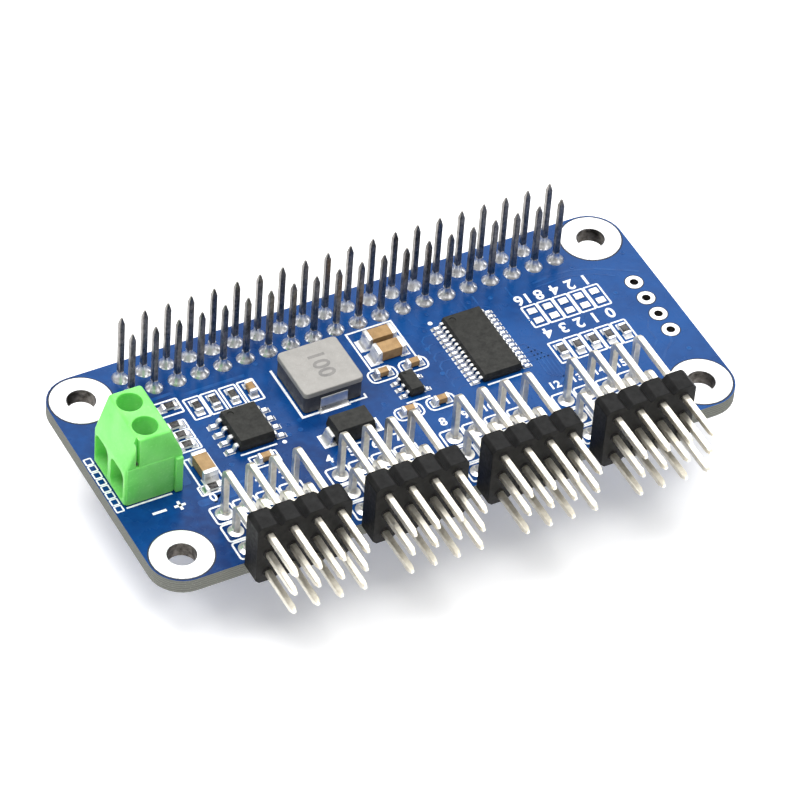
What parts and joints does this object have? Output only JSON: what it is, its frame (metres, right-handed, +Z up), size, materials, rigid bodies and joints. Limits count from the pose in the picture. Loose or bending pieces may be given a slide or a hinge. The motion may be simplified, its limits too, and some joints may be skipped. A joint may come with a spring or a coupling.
{
  "type": "servo driver board",
  "caption": "Servo driver board that plugs onto a 40-pin computer header, with right-angle servo pin blocks, a screw terminal and a switching supply.",
  "frame": {"origin": "centre of the circuit board's underside", "axes": "+X along the board's long edge with the screw terminal at -X, +Y towards the 40-pin header, +Z up through the side that carries the parts"},
  "size_m": [0.065, 0.0385, 0.0188],
  "materials": {
    "solder_mask": "blue solder mask over glass-fibre laminate",
    "header_plastic": "moulded black",
    "pin_metal": "tin-plated square pin",
    "solder": "bright solder",
    "silkscreen": "white ink",
    "terminal_plastic": "moulded light green",
    "plated_steel": "zinc-plated",
    "contact_brass": "tinned brass",
    "chip_resin": "moulded epoxy",
    "ferrite": "pressed powder, light grey top",
    "capacitor_ceramic": "fired ceramic",
    "resistor_ceramic": "glazed black"
  },
  "bodies": {
    "board": {"circuit_board": "solder_mask", "stacking_header": "header_plastic", "terminal_housing": "terminal_plastic", "pwm_controller_chip": "chip_resin", "power_regulator_chip": "chip_resin", "logic_regulator_chip": "chip_resin", "rectifier_diode": "chip_resin", "power_inductor": "ferrite", "servo_header_1": "header_plastic", "servo_header_2": "header_plastic", "servo_header_3": "header_plastic", "servo_header_4": "header_plastic", "terminal_contact_1": "contact_brass", "terminal_contact_2": "contact_brass", "feedback_resistor_1": "resistor_ceramic", "feedback_resistor_2": "resistor_ceramic", "feedback_resistor_3": "resistor_ceramic", "bootstrap_capacitor": "capacitor_ceramic", "enable_resistor_1": "resistor_ceramic", "enable_resistor_2": "resistor_ceramic", "enable_resistor_3": "resistor_ceramic", "frequency_resistor": "resistor_ceramic", "pull_up_resistor": "resistor_ceramic", "compensation_capacitor": "capacitor_ceramic", "logic_capacitor_1": "capacitor_ceramic", "logic_capacitor_2": "capacitor_ceramic", "logic_capacitor_3": "capacitor_ceramic", "logic_capacitor_4": "capacitor_ceramic", "address_resistor_1": "resistor_ceramic", "address_resistor_2": "resistor_ceramic", "address_resistor_3": "resistor_ceramic", "address_resistor_4": "resistor_ceramic", "address_resistor_5": "resistor_ceramic", "input_capacitor": "capacitor_ceramic", "output_capacitor_1": "capacitor_ceramic", "output_capacitor_2": "capacitor_ceramic"},
    "screw_1": {"terminal_screw_1": "plated_steel"},
    "clamp_1": {"wire_clamp_1": "plated_steel"},
    "screw_2": {"terminal_screw_2": "plated_steel"},
    "clamp_2": {"wire_clamp_2": "plated_steel"}
  },
  "joints": [
    {"name": "screw_1_turn", "type": "hinge", "parent": "board", "child": "screw_1", "pos_m": [-0.0285, -0.00175, 0.0074], "axis": [0, 0, -1], "range_deg": [0, 1170]},
    {"name": "clamp_1_rise", "type": "slide", "parent": "board", "child": "clamp_1", "axis": [0, 0, 1], "range_m": [0, 0.0013]},
    {"name": "screw_2_turn", "type": "hinge", "parent": "board", "child": "screw_2", "pos_m": [-0.0285, 0.00175, 0.0074], "axis": [0, 0, -1], "range_deg": [0, 1170]},
    {"name": "clamp_2_rise", "type": "slide", "parent": "board", "child": "clamp_2", "axis": [0, 0, 1], "range_m": [0, 0.0013]}
  ],
  "couplings": [
    {"joint": "screw_1_turn", "follows": "clamp_1_rise", "rad_per_m": 15708},
    {"joint": "screw_2_turn", "follows": "clamp_2_rise", "rad_per_m": 15708}
  ]
}
